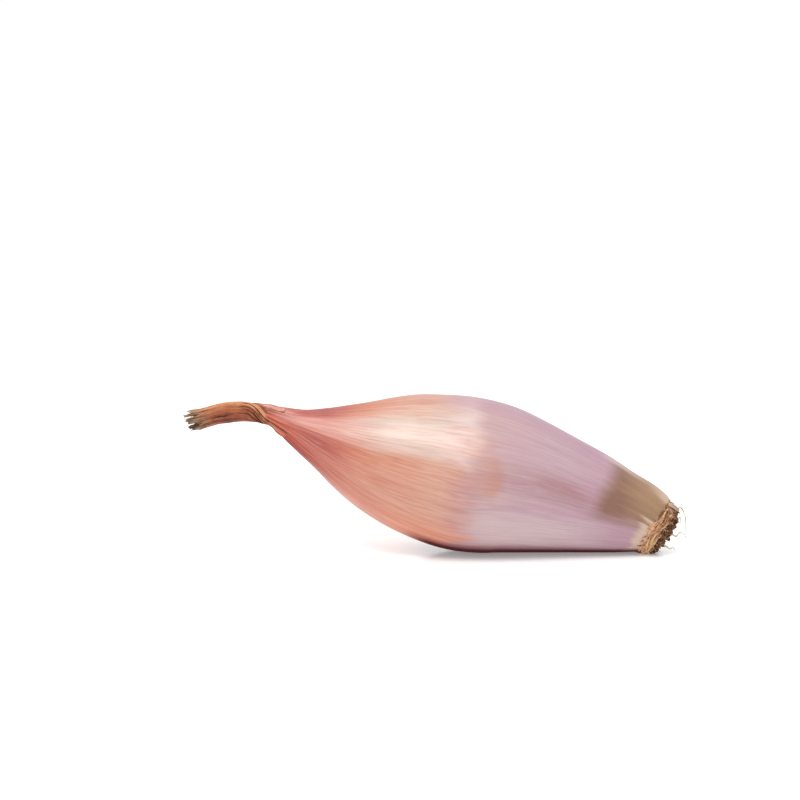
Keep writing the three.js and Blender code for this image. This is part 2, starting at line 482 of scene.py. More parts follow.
def papery_skin():
    """Thin satin skin, orange at the neck and lilac at the root end, with veins from pole to pole."""
    finish = Finish("papery_skin")
    mix = finish.mix
    paint = finish.paint
    place = finish.attribute("skin_place")
    front, down, along = finish.split(place)
    angle = finish.math("ARCTAN2", down, front)

    # Fibres run from pole to pole, and wander a little on the way.
    sway = finish.ripple(place, 5.0) * 0.14
    swayed_front = front - down * sway
    swayed_down = down + front * sway

    def streaks(round_scale, along_scale, detail=3.0):
        stretched = finish.vector(swayed_front * round_scale, swayed_down * round_scale, along * along_scale)
        return finish.ripple(stretched, 1.0, detail, 0.6)

    slow = streaks(1.1, 2.2, 1.0)
    broad = streaks(4.0, 1.8)
    medium = streaks(11.0, 3.5)
    fine = streaks(26.0, 5.0)
    dashes = streaks(34.0, 15.0, 2.0)
    finest = streaks(75.0, 14.0)
    mottle = finish.ripple(place, 7.0, 3.0)

    # The ground colour: orange from the neck to a ragged border by the middle, and lilac from there on.
    wander = along + slow * 0.12 + broad * 0.12
    wander = wander + down.ease(-1.0, -0.5, 0.065, 0.0) + down.ease(0.6, 0.9, 0.0, 0.012)
    orange = finish.ramp(wander, [
        (0.0, (178, 82, 54)), (0.08, (158, 66, 52)), (0.2, (170, 96, 70)),
        (0.34, (181, 130, 105)), (0.43, (178, 132, 113)), (0.52, (168, 120, 108)),
    ])
    lilac = finish.ramp(along, [
        (0.5, (172, 140, 138)), (0.62, (168, 139, 143)), (0.74, (168, 141, 148)),
        (0.88, (162, 128, 140)), (1.0, (158, 124, 136)),
    ])
    lilac = mix((broad + slow).ease(0.0, 0.3) * 0.35, lilac, (176, 146, 134))
    lilac = mix((medium - slow).ease(0.04, 0.3) * 0.4, lilac, (160, 116, 136))
    border = (wander + medium * 0.08 + fine * 0.03 + mottle * 0.06).ease(0.465, 0.54)
    finish.colour = mix(border, orange, lilac)

    # Pale over the upper half: partly skin that has dried away from the flesh, partly a painted highlight.
    # Deeper and more orange underneath, with painted shade along the top and under the fold.
    up = broad * 0.35 + medium * 0.2 - down
    high_edge = along.ease(0.05, 0.42, 0.78, 1.08) + along.ease(0.0, 0.05, 0.25, 0.0)
    lifted = up.ease(0.11, 0.23) * up.fade(high_edge - 0.2, high_edge + 0.1)
    lifted = lifted * (along + broad * 0.08 + medium * 0.06).fade(0.48, 0.54) * wander.ease(-0.04, 0.02)
    pale = mix(along.ease(0.1, 0.3), (193, 139, 130), (182, 174, 163))
    pale = mix(along.ease(0.38, 0.48), pale, (200, 180, 173))
    pale = mix(up.ease(0.26, 0.56, 0.5, 0.0), pale, (186, 144, 130))
    pale = mix(up.ease(0.7, 0.86, 0.0, 0.4) * along.fade(0.34, 0.44), pale, (206, 146, 120))
    # The pale band: partly the dried skin's own colour, partly a painted highlight.
    paint(lifted * (0.7 + fine + medium), pale)
    flank = (down + broad * 0.3).ease(0.35, 1.0) * wander.ease(0.0, 0.08) * (1.0 - border)
    paint(flank * 0.82, mix(along.ease(0.22, 0.46), (178, 86, 50), (200, 104, 44)))
    # Painted shade along the top near the neck: darker and redder there, more orange further on.
    neck_top_shade_edge = along.ease(0.1, 0.26, 0.62, 0.76)
    ridge = (broad * 0.3 + medium * 0.15 - down).ease(neck_top_shade_edge, neck_top_shade_edge + 0.24)
    ridge = ridge * (along + broad * 0.15 + medium * 0.1).within(0.05, 0.46, 0.05)
    neck_top_shade_colour = mix(along.ease(0.08, 0.24), (142, 46, 50), (178, 92, 50))
    paint(ridge * along.ease(0.12, 0.36, 0.95, 0.3), neck_top_shade_colour)
    # Painted shade: the top edge darker and more mauve.
    top_edge_shade = (broad * 0.2 - down).ease(0.84, 1.0) * along.within(0.42, 0.84, 0.05)
    paint(top_edge_shade * 0.4, (154, 106, 134))
    # Painted shadow just under the fold's edge.
    fold_shadow = (down + broad * 0.2 + medium * 0.1).within(-0.14, 0.3, 0.12)
    paint(fold_shadow * along.within(0.05, 0.17, 0.06) * 0.76, (140, 52, 48))
    neck_side = (down + broad * 0.3).ease(0.36, 0.84) * along.fade(0.06, 0.24)
    neck_side = neck_side * along.ease(0.0, 0.05, 0.35, 1.0)
    paint(neck_side * 0.88, (132, 24, 28))

    # Stains: a warm one across the change of colour, and long mauve-brown ones towards the root end.
    gap = (down + broad * 0.3).within(-0.1, 0.6, 0.15) * (along + broad * 0.06).within(0.465, 0.53, 0.03)
    paint(gap * 0.6, (164, 118, 116))

    def stain(round_angle, middle, reach, waver):
        """1 in an oval stain, 0 outside it. Its middle and reach are (share along, radians round)."""
        lengthwise = (along - middle[0]) / reach[0]
        crosswise = (round_angle - middle[1]) / reach[1]
        far = (lengthwise * lengthwise + crosswise * crosswise) ** 0.5
        return (far + waver).fade(0.5, 1.3)

    near = stain(angle, (0.56, -0.16), (0.062, 0.32), broad * 0.9 + mottle * 0.9)
    near = near * (along + medium * 0.05 + broad * 0.04 + down * down * 0.08).fade(0.57, 0.6)
    near = near * along.ease(0.52, 0.58, 0.6, 1.0)
    paint(near * (0.6 + medium * 0.8), (168, 112, 82))
    far = stain(angle, (0.76, -0.2), (0.19, 0.26), broad * 1.4 + medium * 1.6)
    paint(far * (0.4 + medium * 0.9 + fine * 0.3), (138, 92, 98))
    spot = stain(angle, (0.735, -0.24), (0.06, 0.1), medium * 3.0 + broad)
    paint(spot * 0.34, (140, 88, 76))
    greyed = (down + broad * 0.6 + mottle * 0.3).within(0.26, 0.74, 0.16)
    paint(greyed * (along + broad * 0.1).within(0.5, 0.84, 0.1) * border * 0.48, (190, 174, 172))
    # Painted shade: darker mauve low on the lilac side, above where it lies.
    lilac_low_shade = (down + broad * 0.1).ease(0.72, 0.88)
    paint(border * lilac_low_shade * 0.48, (136, 70, 92))
    behind = stain(abs(angle), (0.46, math.pi), (0.12, 0.7), broad * 1.5 + mottle * 2.0)
    paint(behind * 0.6, (160, 96, 72))

    # Veins: thin lines, redder on the orange side and greyer on the lilac side.
    veins = (angle * 104.0 + slow * 16.0).cosine().ease(0.55, 1.0) * (mottle * 2.0 + 0.55)
    vein_colour = mix(border, (150, 66, 48), (124, 90, 104))
    light_line = mix(border, (204, 168, 156), (190, 168, 176))
    contrast = border.ease(0.0, 1.0, 1.2, 0.56)
    paint(veins * border.ease(0.0, 1.0, 0.2, 0.12), vein_colour)
    paint(fine * contrast, vein_colour)
    paint(-fine * contrast, light_line)
    paint(dashes * contrast * 1.05, vein_colour)
    paint(-dashes * contrast * 0.85, light_line)

    # The dry brown patch over the root end, with a painted highlight along its top,
    # and the pale rim where the skin ends, carried over the top as a painted rim highlight.
    dry = (along + down * 0.03 + mottle * 0.05 + slow * 0.04 + broad * 0.012).ease(0.798, 0.856)
    dry_edge = angle + along.ease(0.86, 0.98, 0.0, 0.06) + mottle * 0.5 + broad * 0.5 + medium * 0.4
    dry = dry * dry_edge.fade(-0.28, 0.38) * (angle + mottle * 1.5 + broad).ease(-2.9, -1.8)
    # The crest: a painted highlight along the top edge, over the patch.
    crest = (angle + broad * 0.2).within(-1.8, -1.33, 0.1) * along.ease(0.8, 0.86)
    brown = mottle * 1.6 + 0.45 + along.ease(0.86, 0.97, -0.3, 0.5) - angle.within(-0.5, 0.1, 0.25) * 0.35
    paint(dry * (0.93 - crest * 0.3), mix(brown, (118, 84, 65), (142, 112, 80)))
    crest_highlight_colour = mix(along.ease(0.86, 0.96), (188, 166, 158), (178, 156, 130))
    paint(crest * along.ease(0.88, 0.96, 0.66, 0.3), crest_highlight_colour)
    rim = (along + down * 0.012 + broad * 0.04 + mottle * 0.05).ease(0.95, 0.98)
    rim = rim * (angle + broad * 1.4 + mottle * 0.4).ease(-0.42, -0.08) * 0.8
    # Over the top by the root end, the pale rim goes on as a painted rim highlight.
    top_rim_highlight = (down + along * 0.35 + fine * 0.2).fade(-0.64, -0.5)
    rim = rim.most(top_rim_highlight * along.ease(0.94, 1.0, 0.0, 0.8))
    paint(rim * 0.9, (196, 172, 148))
    edge_colour = mix(down.ease(-0.96, -0.86), (152, 128, 110), (176, 128, 92))
    paint((along + fine * 0.01).ease(0.997, 1.016) * 0.92, edge_colour)

    # Very dark wine red along the underside where it lies:
    # partly the skin's deeper red, partly a painted contact shadow.
    red_underside_and_shade = (down + fine * 0.03 + broad * 0.02).ease(0.78, 0.905) * along.ease(0.36, 0.45)
    paint(red_underside_and_shade * 0.98, (84, 0, 14))

    glossy = border.ease(0.0, 1.0, 0.85, 0.3) * (1.0 - dry * 0.6) * (1.0 - red_underside_and_shade)
    glossy = glossy * along.ease(0.05, 0.3, 0.4, 1.0) * (1.0 - neck_side * 0.7) * (1.0 - ridge * 0.4)
    return finish.done(
        relief=fine * 0.6 + finest * 0.35 + veins * 0.25,
        depth=0.12,
        roughness=0.46 + fine * 0.3 + dry * 0.15 + red_underside_and_shade * 0.54 + neck_side * 0.3,
        specular_ior_level=0.3,
        coat_weight=glossy,
        coat_roughness=0.32,
    )


SKIN_TUCK = 3.0  # how far the skin runs on inside the neck and the root plate
TUCK_SLOPES = (0.25, 1.3)  # how fast it narrows there, at the neck and at the root plate


def bulb_skin():
    """The bulb's surface: turned along its bent middle line, then drawn into ridges, pleats and a fold."""
    skin = Shape("bulb_skin_shape", {
        "Finish": papery_skin(),
        "Sides": 224,
        "Steps": 320,
        "Tuck": SKIN_TUCK * MM,
        "Length": BULB_LENGTH * MM,
        "Unevenness": 0.45 * MM,
        "Rib count": 38,
        "Rib depth": 0.022 * MM,
        "Pleat count": 17,
        "Pleat depth": 0.26 * MM,
        "Fold depth": 0.32 * MM,
        "Shoulder rise": 0.66 * MM,
        "Saddle depth": 0.75 * MM,
        "Nape depth": 0.35 * MM,
        "Chin rise": 0.8 * MM,
        "Seed": 7.0,
    })
    distances = np.linspace(-SKIN_TUCK, BULB_LENGTH + SKIN_TUCK, num=240)
    before = np.clip(-distances, 0, None)
    beyond = np.clip(distances - BULB_LENGTH, 0, None)
    radii = bulb_radius(distances) - TUCK_SLOPES[0] * before - TUCK_SLOPES[1] * beyond
    start = rail("bulb_rail", (core_line.places(distances), radii))
    surface, outward, angle, along, place = turned(skin, "skin_place", skin.resampled(skin.start), "Length")

    uneven = skin.ripple(place, 1.3, 1.0, seed=skin.size("Seed")) * skin.size("Unevenness") * 2.0
    swing = 9.0
    wave = skin.noise(place, 3.0, 1.0) * swing
    ribs = (angle * skin.size("Rib count") + wave).cosine() * skin.size("Rib depth")
    pleats = (angle * skin.size("Pleat count") + wave).cosine() * skin.size("Pleat depth")
    near_neck = along.fade(0.0, 0.13)
    near_root = along.ease(0.88, 1.0)

    # The fold: above a line that slants down the front from the neck, the skin stands proud of the rest.
    front, down, _ = skin.split(place)
    edge = down + 0.14 - (wave - swing / 2) * 0.03
    proud = edge.fade(-0.1, 0.02) * edge.ease(-1.0, -0.2) * front.ease(-0.2, 0.3)
    fold = proud * along.ease(0.02, 0.06) * along.fade(0.14, 0.32) * skin.size("Fold depth")

    # The top's own line: a slimmer nape and saddle, and a shoulder just before the root plate.
    shoulder = along.ease(0.89, 0.975) * along.ease(0.99, 1.02, 1.0, 0.3) * skin.size("Shoulder rise")
    saddle = along.ease(0.52, 0.68) * along.fade(0.7, 0.87) * skin.size("Saddle depth")
    nape = along.within(0.14, 0.3, 0.07) * skin.size("Nape depth")
    crest = down.fade(-0.95, -0.3) * (shoulder - saddle - nape)
    chin = down.ease(0.4, 0.95) * along.ease(0.0, 0.055) * along.fade(0.06, 0.16) * skin.size("Chin rise")
    height = uneven + ribs + pleats * (near_neck * near_neck + near_root * 0.5) + fold + crest + chin
    return skin.made(raised(skin, surface, outward, height), "bulb_skin", start)


# ---- Torn strips: the neck's dried leaf ends, and the skin's torn edge at the root end ----

DEGREE = math.pi / 180


def torn_strip(name, start, finish, values, wall=0.14):
    """A thin strip that lies along a rail and bends round it, with a ragged free end.

    Begin and End are shares of the rail, with the free end at End. Around is the angle at the free end and
    Turn is what it gains by the fixed end, in degrees. The rail's radius is how far out the strip lies.
    """
    sizes = {
        "Finish": finish, "Steps along": 44, "Steps across": 13, "Begin": 0.0, "End": 1.0, "Around": 0.0,
        "Turn": 0.0, "Turn from": 0.36, "Turn to": 0.58, "Width": 3.0, "Arch": 0.3, "Lift": 0.0,
        "Crumple": 0.35, "Creases": 3.0, "Creases along": 9.0, "Teeth": 7.0, "Raggedness": 0.12,
        "Taper": 0.3, "Sway down": 0.0, "Sway forward": 0.0, "Sink": 0.7, "Rooted": 0.3, "Pointed": 0.0,
        "Skin from": 0.0, "Skin to": 0.0, "Flattening": 1.0, "Round until": 0.34, "Flat from": 0.48,
        "Tone": 0.5, "Seed": 1.0,
    }
    strip = Shape(name + "_shape", sizes | values)
    size = strip.size
    seed = size("Seed")

    # A flat sheet: run goes from 0 at the fixed end to 1 at the free end, and across from -0.5 to 0.5.
    counts = {"Vertices X": size("Steps along"), "Vertices Y": size("Steps across")}
    sheet = strip.node("GeometryNodeMeshGrid", None, {"Size X": 1.0, "Size Y": 1.0} | counts, "Mesh")
    x, y, _ = strip.split(strip.position)
    sheet, run = strip.captured(sheet, "Run", x + 0.5)
    sheet, across = strip.captured(sheet, "Across", y)
    tooth = strip.noise(strip.vector(0.0, across * size("Teeth"), 0.0), seed=seed) - 0.35
    reach = 1.0 - size("Raggedness") * tooth.most(0.0) * 2.0 * run
    share = size("Begin") + (size("End") - size("Begin")) * run * reach

    # Where the rail is there, and which ways are forward and up from it.
    radius = strip.node("GeometryNodeInputRadius")
    inputs = {"Curves": strip.start, "Value": radius, "Factor": share}
    far = strip.node("GeometryNodeSampleCurve", {"mode": "FACTOR", "data_type": "FLOAT"}, inputs, "Value")
    middle = strip.other(far, "Position")
    tangent = strip.other(far, "Tangent")
    tx, ty, _ = strip.split(tangent)
    side = strip.arrows("NORMALIZE", strip.vector(ty, -tx, 0.0))
    above = strip.arrows("CROSS_PRODUCT", side, tangent)
    forward = strip.arrows("SCALE", side, strip.math("SIGN", tx))

    # Its place in the section.
    wider = (far / (NECK_HEIGHT / 2 * MM)) ** 0.6
    narrow = (1.0 - size("Taper") * run * run) * run.ease(0.0, size("Rooted"), 1.0 - size("Pointed"), 1.0)
    width = size("Width") * MM * wider * narrow
    turning = share.fade(size("Turn from"), size("Turn to"))
    angle = (size("Around") + size("Turn") * turning) * DEGREE + across * width / far
    arch = 1.0 - 4.0 * across * across
    folds = strip.vector(share * size("Creases along"), across * size("Creases"), 0.0)
    creases = strip.ripple(folds, 1.0, 3.0, seed=seed)
    sunk = run.fade(0.0, size("Rooted")) * size("Sink")
    out = far + (size("Lift") + size("Arch") * arch + size("Crumple") * creases - sunk) * MM
    flat = share.ease(size("Round until"), size("Flat from"), 1.0, size("Flattening"))
    swing = run * run * run * MM
    ahead = angle.cosine() * out * flat + size("Sway forward") * swing
    higher = -(angle.sine() * out + size("Sway down") * swing)
    bent = strip.placed(sheet, strip.further(middle, (forward, ahead), (above, higher)))

    bent = strip.stored(bent, "leaf_place", strip.vector(across, run, size("Tone")))
    bent = strip.stored(bent, "crease", creases)
    on_skin = size("Skin from") + (size("Skin to") - size("Skin from")) * share
    bent = strip.stored(bent, "skin_place", strip.vector(angle.cosine(), angle.sine(), on_skin))
    return strip.made(bent, name, start, wall)


def joined_as(name, pieces):
    """One plain mesh piece of several."""
    bpy.ops.object.select_all(action="DESELECT")
    for piece in pieces:
        piece.select_set(True)
    bpy.context.view_layer.objects.active = pieces[0]
    bpy.ops.object.join()
    pieces[0].name = name
    pieces[0].data.name = name
    return pieces[0]


# ---- The dried neck ----

STALK_LEAD = 14.0  # how much of the bulb's end the neck's strips cover
STRIP_LAYERS = 0.5  # how thick the strips are where they lie over each other
STRIPS_PART = (17.0, 22.0)  # where, past the bulb's end, they come apart
THIN_SHEATHS = 30
SHEATH_SEED = 5

stalk_line = BentLine([*(core_line.places(np.array([STALK_LEAD, 9.0, 4.5])) - CENTRING), *NECK_LINE])
STALK_LENGTH = stalk_line.distances[-1]


def on_stalk(distance):
    """The share of the stalk rail at a distance from the bulb's end: below 0 it is on the bulb."""
    return float((STALK_LEAD + distance) / STALK_LENGTH)


def stalk_rail():
    distances = np.linspace(0, STALK_LENGTH, num=160)
    past = distances - STALK_LEAD
    on_neck = neck_radius(past) - np.interp(past, STRIPS_PART, [STRIP_LAYERS, 0.0])
    blend = np.clip((past + 1.0) / 2.5, 0, 1)
    radii = bulb_radius(-past) * (1 - blend) + on_neck * blend
    return rail("stalk_rail", (stalk_line.places(distances), radii))


def dry_leaf():
    """Withered leaf: brittle, streaked lengthwise, with painted shade in its folds, and pale at its torn
    edges.

    A strip's tone runs from dark to pale, in browns up to 1 and in pinks from 1 to 2.
    """
    finish = Finish("dry_leaf")
    paint = finish.paint
    across, run, tone = finish.split(finish.attribute("leaf_place"))
    _, _, along = finish.split(finish.attribute("skin_place"))
    crease_shade = -finish.attribute("crease", "Fac")
    streaks = finish.ripple(finish.vector(across * 9.0, run * 2.2, tone * 31.0), 1.0, 3.0, 0.65)
    lines = finish.ripple(finish.vector(across * 30.0, run * 4.0, tone * 17.0), 1.0, 2.0, 0.6)
    blotches = finish.grain(420.0)
    varied = streaks * 0.8 + blotches * 0.5 + lines * 0.3
    browns = finish.ramp(tone + varied, [
        (0.0, (44, 17, 9)), (0.22, (86, 36, 20)), (0.42, (128, 58, 34)),
        (0.6, (158, 80, 44)), (0.78, (186, 106, 66)), (1.0, (208, 152, 112)),
    ])
    pinks = finish.ramp(tone - 1.0 + varied, [
        (0.0, (54, 20, 18)), (0.3, (112, 50, 42)), (0.55, (156, 80, 68)),
        (0.8, (196, 124, 106)), (1.0, (216, 168, 152)),
    ])
    pink = tone.ease(1.0, 1.02)
    finish.colour = finish.mix(pink, browns, pinks)
    by_bulb = (along + streaks * 0.1).fade(0.27, 0.45)
    paint(by_bulb * (0.75 + streaks), finish.mix(pink, (198, 88, 64), (224, 140, 136)))
    # Painted shade in the valleys of the creases.
    paint((crease_shade + streaks * 0.3).ease(0.03, 0.2) * 0.7, (74, 26, 14))
    # Painted shade towards each strip's sides, where the strips meet.
    paint((abs(across) * 2.0 + streaks * 0.6).ease(0.6, 0.98) * 0.6, (70, 26, 14))
    paint((-lines).ease(0.06, 0.18) * 0.5, (74, 28, 16))
    paint(lines.ease(0.08, 0.2) * 0.35, (216, 150, 104))
    paint((abs(across) + streaks * 0.04).ease(0.465, 0.49) * 0.4, (206, 148, 110))
    tip = (along + blotches * 0.15 + streaks * 0.2).ease(0.76, 0.96)
    paint(tip * (0.7 + lines) * tone.ease(0.04, 0.24, 0.1, 1.0), (142, 128, 98))
    relief = streaks + blotches * 0.6 + lines
    return finish.done(relief, depth=0.25, roughness=0.6 + streaks * 0.3, specular_ior_level=0.4)


def neck_sheaths():
    """The withered leaf tops: strips that wind round each other where they leave the bulb."""
    finish = dry_leaf()
    # Each strip: where it begins and ends past the bulb's end, the angle at its free end, what it turns by
    # the bulb, its width, arch, lift and tone, and how far its free end sways down and forward.
    # The tones carry painted shade: strips on top are paler and those lower down darker.
    strips = [
        (-6, 23.0, -90, 110, 7.0, 0.1, -0.75, 0.12, 0.0, 0.0),
        (-6, 22.0, 30, 110, 7.0, 0.1, -0.75, 0.1, 0.0, 0.0),
        (-6, 22.5, 150, 110, 7.0, 0.1, -0.75, 0.12, 0.0, 0.0),
        (-5, 24.2, -74, 112, 2.8, 0.6, 0.05, 0.92, -0.5, 0.2),
        (-6, 23.5, -40, 112, 2.2, 0.5, 0.0, 0.72, -0.2, 0.4),
        (-4, 24.4, -8, 112, 1.6, 0.45, 0.0, 0.58, 0.1, 0.6),
        (-6, 23.0, 20, 112, 1.9, 0.5, 0.0, 0.48, 0.3, 0.4),
        (-5, 24.0, 48, 112, 1.8, 0.45, 0.05, 0.4, 0.5, 0.2),
        (-5, 22.5, 78, 112, 2.6, 0.5, 0.0, 1.45, 0.6, 0.0),
        (-6, 22.0, 120, 110, 2.6, 0.5, 0.0, 0.5, 0.0, 0.0),
        (-3, 22.0, 165, 110, 3.4, 0.5, 0.0, 1.6, 0.2, -0.4),
        (-3, 21.0, 222, 110, 3.4, 0.5, 0.0, 1.7, -0.2, -0.2),
        (13.0, 20.0, 60, -34, 0.7, 0.15, 0.5, 1.0, 0.3, 0.2),
        (-7, 5.0, -52, 104, 1.6, 0.4, 0.3, 0.84, 0.0, 0.1),
        # The next seven strips, thin and nearly black, are painted shadow in the gaps between the strips.
        (-2, 9.5, -62, 110, 0.5, 0.05, 0.62, 0.1, 0.0, 0.0),
        (-3, 10.5, -36, 110, 0.5, 0.05, 0.6, 0.12, 0.0, 0.0),
        (-1, 8.5, -20, 110, 0.45, 0.05, 0.6, 0.08, 0.0, 0.0),
        (0, 11.0, 4, 110, 0.5, 0.05, 0.55, 0.14, 0.0, 0.0),
        (10.0, 22.5, 16, 20, 0.7, 0.1, 0.68, 0.04, 0.2, 0.2),
        (16.0, 24.2, 34, 10, 0.8, 0.1, 0.6, 0.0, 0.3, 0.2),
        (15.0, 24.0, -50, 10, 0.4, 0.1, 0.6, 0.1, -0.2, 0.3),
        (3.0, 19.5, 74, 30, 0.6, 0.1, 0.4, 1.95, 0.2, 0.0),
        (-7, 6.5, -30, 108, 1.4, 0.3, 0.4, 0.8, 0.0, 0.1),
        (-8, 4.5, -8, 108, 1.1, 0.25, 0.4, 0.7, 0.0, 0.1),
        (6.0, -1.4, -84, 14, 2.3, 0.3, 0.25, 1.95, 0.3, 0.1),
        (13, 25.0, -72, 0, 1.9, 0.3, -0.2, 0.9, -0.2, 0.2),
        (13, 24.8, -30, 0, 1.6, 0.3, -0.3, 1.4, 0.1, 0.5),
        (13, 24.5, 8, 0, 1.4, 0.3, -0.3, 0.7, 0.0, 0.5),
        (12, 24.0, 44, 0, 1.8, 0.3, -0.2, 0.5, 0.4, -0.3),
        (13, 24.0, 180, 0, 2.2, 0.3, -0.4, 0.5, 0.2, -0.3),
    ]
    draw = random.Random(SHEATH_SEED)
    for _ in range(THIN_SHEATHS):
        begin = draw.uniform(-5, 9)
        tone = draw.choice((0.3, 0.5, 0.8, 0.9, 1.4, 1.7)) + draw.uniform(-0.1, 0.1)
        end = min(begin + draw.uniform(11, 24), draw.uniform(23.0, 25.0))
        sway = (draw.uniform(-0.5, 0.7), draw.uniform(-0.5, 0.5))
        around = draw.uniform(-180, 180)
        width = draw.uniform(0.3, 0.9)
        strips.append((begin, end, around, 110, width, 0.08, draw.uniform(0.1, 0.45), tone, *sway))
    pieces = []
    for index, (begin, end, around, turn, width, arch, lift, tone, down, forward) in enumerate(strips):
        values = {
            "Begin": on_stalk(begin), "End": on_stalk(end), "Around": float(around), "Turn": float(turn),
            "Width": width, "Arch": arch, "Lift": lift, "Tone": tone, "Sway down": down,
            "Sway forward": forward, "Taper": 0.15 if end > 19 or end < 0 else 0.85, "Crumple": 0.5,
            "Creases": 5.0, "Sink": 1.3, "Rooted": 0.36, "Pointed": 0.8, "Raggedness": 0.16,
            "Flattening": NECK_FLATTENING, "Skin to": 1.0, "Seed": index * 3.7,
        }
        pieces.append(torn_strip(f"sheath_{index + 1}", stalk_rail(), finish, values))
    return joined_as("neck_sheaths", pieces)


# ---- The root plate and its broken roots ----

FLANK_STEPS = 10


def cork():
    """The root plate: tan and fibrous round its wall, dark and rough on its face."""
    finish = Finish("cork")
    front, down, along = finish.split(finish.attribute("plate_place"))
    grain = finish.grain(900.0, 4.0, 0.65)
    lumps = finish.grain(300.0, 2.0, 0.5)
    fibres = finish.ripple(finish.vector(front * 9.0, down * 9.0, along * 2.0), 1.0, 3.0, 0.6)
    wall = finish.mix(fibres * 2.2 + 0.5 + grain * 0.8, (104, 56, 28), (186, 130, 84))
    face = finish.mix(grain * 2.0 + lumps + 0.35, (26, 12, 8), (84, 54, 32))
    finish.colour = finish.mix((along + lumps * 0.2).ease(0.38, 0.56), wall, face)
    relief = grain + fibres * 0.5
    return finish.done(relief, depth=0.25, roughness=0.85 + grain * 0.2, specular_ior_level=0.3)


def plate_flank():
    """The plate's outline: how far along its axis, and how far out, its wall, rim and domed face are."""
    rim = ROOT_PLATE_DIAMETER / 2
    face = ROOT_FACE_DIAMETER / 2
    thick = ROOT_PLATE_THICKNESS
    wall = [(-1.2, rim - 0.6), (0.2, rim - 0.1), (thick * 0.4, rim - 0.2), (thick * 0.8, face + 0.3)]
    dome = [(thick, face - 0.1), (thick + 0.65, face * 0.8), (thick + 1.1, face * 0.42), (thick + 1.25, 0.2)]
    outline_points = smooth_through(wall + dome, FLANK_STEPS)
    return outline_points, outline_points[:len(wall) * FLANK_STEPS]


def root_plate():
    """The disc that the roots grew from, in one lumpy turned form."""
    flank, _ = plate_flank()
    plate = Shape("root_plate_shape", {
        "Finish": cork(),
        "Sides": 120,
        "Tuck": 0.0,
        "Length": float(len(flank) - 1),
        "Lump depth": 0.45 * MM,
        "Seed": 3.0,
    })
    start = rail("plate_rail", (core_line.places(BULB_LENGTH + flank[:, 0]), flank[:, 1]))
    surface, outward, *_ = turned(plate, "plate_place", plate.start, "Index")
    rough = plate.ripple(plate.position, 420.0, 3.0, seed=plate.size("Seed"))
    height = rough * plate.size("Lump depth") * 2.0
    return plate.made(raised(plate, surface, outward, height), "root_plate_crown", start)


def plate_axes():
    """The way that the root plate faces, and the ways to the front and down across it."""
    near, far = core_line.places(np.array([BULB_LENGTH, BULB_LENGTH + ROOT_PLATE_THICKNESS]))
    facing = (far - near) / np.linalg.norm(far - near)
    front = np.array([facing[1], -facing[0], 0.0])
    front = front / np.linalg.norm(front)
    return facing, front, np.cross(facing, front)


STRAND_COUNT = 190
STRAND_LENGTHS = (3.5, 11.0)
STRAND_DEPTHS = (0.1, 2.4)  # how far along the plate's wall they lie
STRAND_RADII = (0.1, 0.33)
STRAND_SLANT = 15  # degrees, more or less
STRAND_SEED = 23


def rim_strands(finish):
    """Torn fibres that lie round the plate's wall, each a thin thread on a slant."""
    strands = Shape("rim_strands_shape", {
        "Finish": finish,
        "Sides": 7,
        "Fraying": 0.22 * MM,
        "Frays per metre": 900.0,
        "Seed": 4,
    })
    draw = random.Random(STRAND_SEED)
    _, wall = plate_flank()
    _, front, under = plate_axes()
    steps = np.linspace(0, 1, num=20)
    lines = []
    for _ in range(STRAND_COUNT):
        length = draw.uniform(*STRAND_LENGTHS)
        slant = math.radians(draw.gauss(0, STRAND_SLANT))
        depth = draw.uniform(*STRAND_DEPTHS)

        # It waves a little as it crosses the wall, and its middle stands off.
        depths = depth + (steps - 0.5) * length * math.sin(slant) + 0.2 * np.sin(steps * 7 + depth * 9)
        depths = np.clip(depths, -0.15, 2.7)
        on_wall = np.interp(depths, wall[:, 0], wall[:, 1])
        out = np.maximum(on_wall, np.where(depths < 0, bulb_radius(BULB_LENGTH + depths), 0.0))
        out = out + draw.uniform(0.0, 0.25) + draw.uniform(0.0, 0.3) * np.sin(steps * math.pi)
        angles = draw.uniform(0, math.tau) + (steps - 0.5) * length * math.cos(slant) / out
        ways = np.cos(angles)[:, None] * front + np.sin(angles)[:, None] * under
        points = core_line.places(BULB_LENGTH + depths) + ways * out[:, None]
        radii = draw.uniform(*STRAND_RADII) * (1 - 0.85 * np.abs(2 * steps - 1) ** 3)
        points[:, 2] = np.clip(points[:, 2], radii + 0.05, None)
        lines.append((points, radii))
    start = rail("rim_strands_rail", *lines)
    tone = strands.chance(0.0, 1.0, strands.size("Seed"))
    path, tone = strands.captured(strands.start, "Tone", tone, "CURVE")
    path, share = strands.shares(path)
    tube = strands.tube(path, strands.circle())
    tube = strands.shaken(tube, 0.0, strands.size("Frays per metre"), 1.0, strands.size("Fraying"), 2.0)
    tube = strands.stored(tube, "share", share * 0.7)
    _, _, z = strands.split(strands.position)
    tube = strands.stored(tube, "tone", tone * 0.75 + 0.32 + z.ease(0.003, 0.014, 0.2, -0.18))
    return strands.made(tube, "rim_strands", start)


MOST_STUBS = 4e6  # to the square metre, before their spacing thins them out


